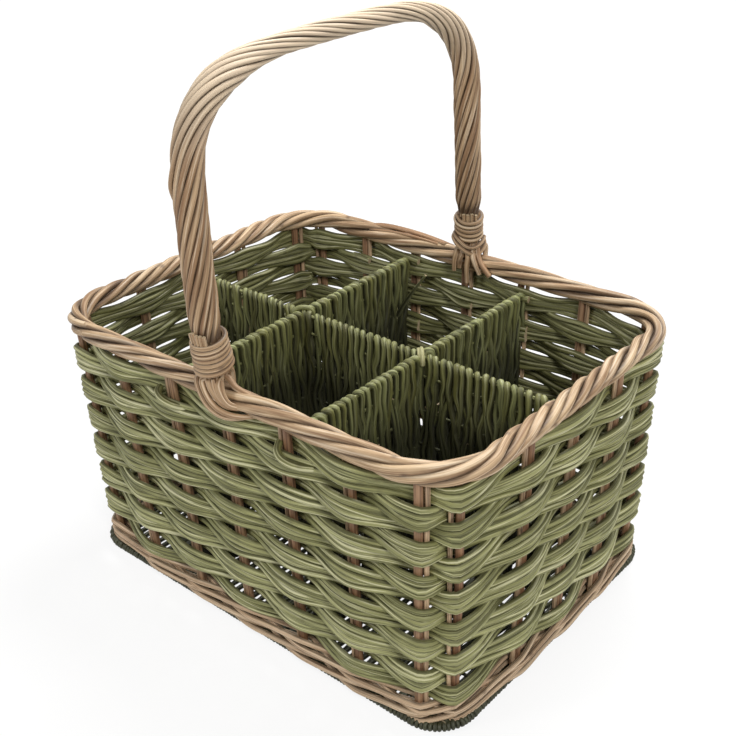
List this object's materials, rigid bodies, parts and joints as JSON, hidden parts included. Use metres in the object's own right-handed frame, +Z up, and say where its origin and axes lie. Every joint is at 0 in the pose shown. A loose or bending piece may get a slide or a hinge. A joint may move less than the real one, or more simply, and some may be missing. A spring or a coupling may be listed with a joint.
{
  "type": "wicker bottle basket",
  "caption": "Rectangular woven willow basket with a rope border, woven dividers that make bottle compartments, and a twisted bow handle.",
  "frame": {"origin": "middle of the flat underside of the base", "axes": "+Z up, +X along the long side of the basket, +Y across it towards the back leg of the handle"},
  "size_m": [0.361, 0.289, 0.3957],
  "materials": {
    "natural_willow": "satin peeled willow",
    "brown_willow": "satin dark willow with bark",
    "green_willow": "satin green stained willow",
    "dark_green_willow": "satin olive stained willow"
  },
  "bodies": {
    "root": {"stake_01": "brown_willow", "stake_02": "brown_willow", "stake_03": "brown_willow", "stake_04": "brown_willow", "stake_05": "brown_willow", "stake_06": "brown_willow", "stake_07": "brown_willow", "stake_08": "brown_willow", "stake_09": "brown_willow", "stake_10": "brown_willow", "stake_11": "brown_willow", "stake_12": "brown_willow", "stake_13": "brown_willow", "stake_14": "brown_willow", "stake_15": "brown_willow", "stake_16": "brown_willow", "stake_17": "brown_willow", "stake_18": "brown_willow", "stake_19": "brown_willow", "stake_20": "brown_willow", "stake_21": "brown_willow", "stake_22": "brown_willow", "stake_23": "brown_willow", "stake_24": "brown_willow", "handle_core": "brown_willow", "weave_row_01": "green_willow", "weave_row_02": "green_willow", "weave_row_03": "green_willow", "weave_row_04": "green_willow", "weave_row_05": "green_willow", "weave_row_06": "green_willow", "weave_row_07": "green_willow", "weave_row_08": "green_willow", "weave_row_09": "green_willow", "weave_row_10": "green_willow", "weave_row_11": "green_willow", "weave_row_12": "green_willow", "base_panel": "dark_green_willow", "long_divider": "dark_green_willow", "short_divider_left_front": "dark_green_willow", "short_divider_left_back": "dark_green_willow", "short_divider_right_front": "dark_green_willow", "short_divider_right_back": "dark_green_willow", "divider_tie_left": "dark_green_willow", "divider_tie_right": "dark_green_willow", "bottom_wale_round_1": "natural_willow", "bottom_wale_round_2": "natural_willow", "rim_border": "natural_willow", "handle_strand_1": "natural_willow", "handle_strand_2": "natural_willow", "handle_strand_3": "natural_willow", "handle_strand_4": "natural_willow", "handle_strand_5": "natural_willow", "handle_strand_6": "natural_willow", "handle_strand_7": "natural_willow", "handle_strand_8": "natural_willow", "collar_front": "natural_willow", "collar_back": "natural_willow"}
  },
  "joints": []
}
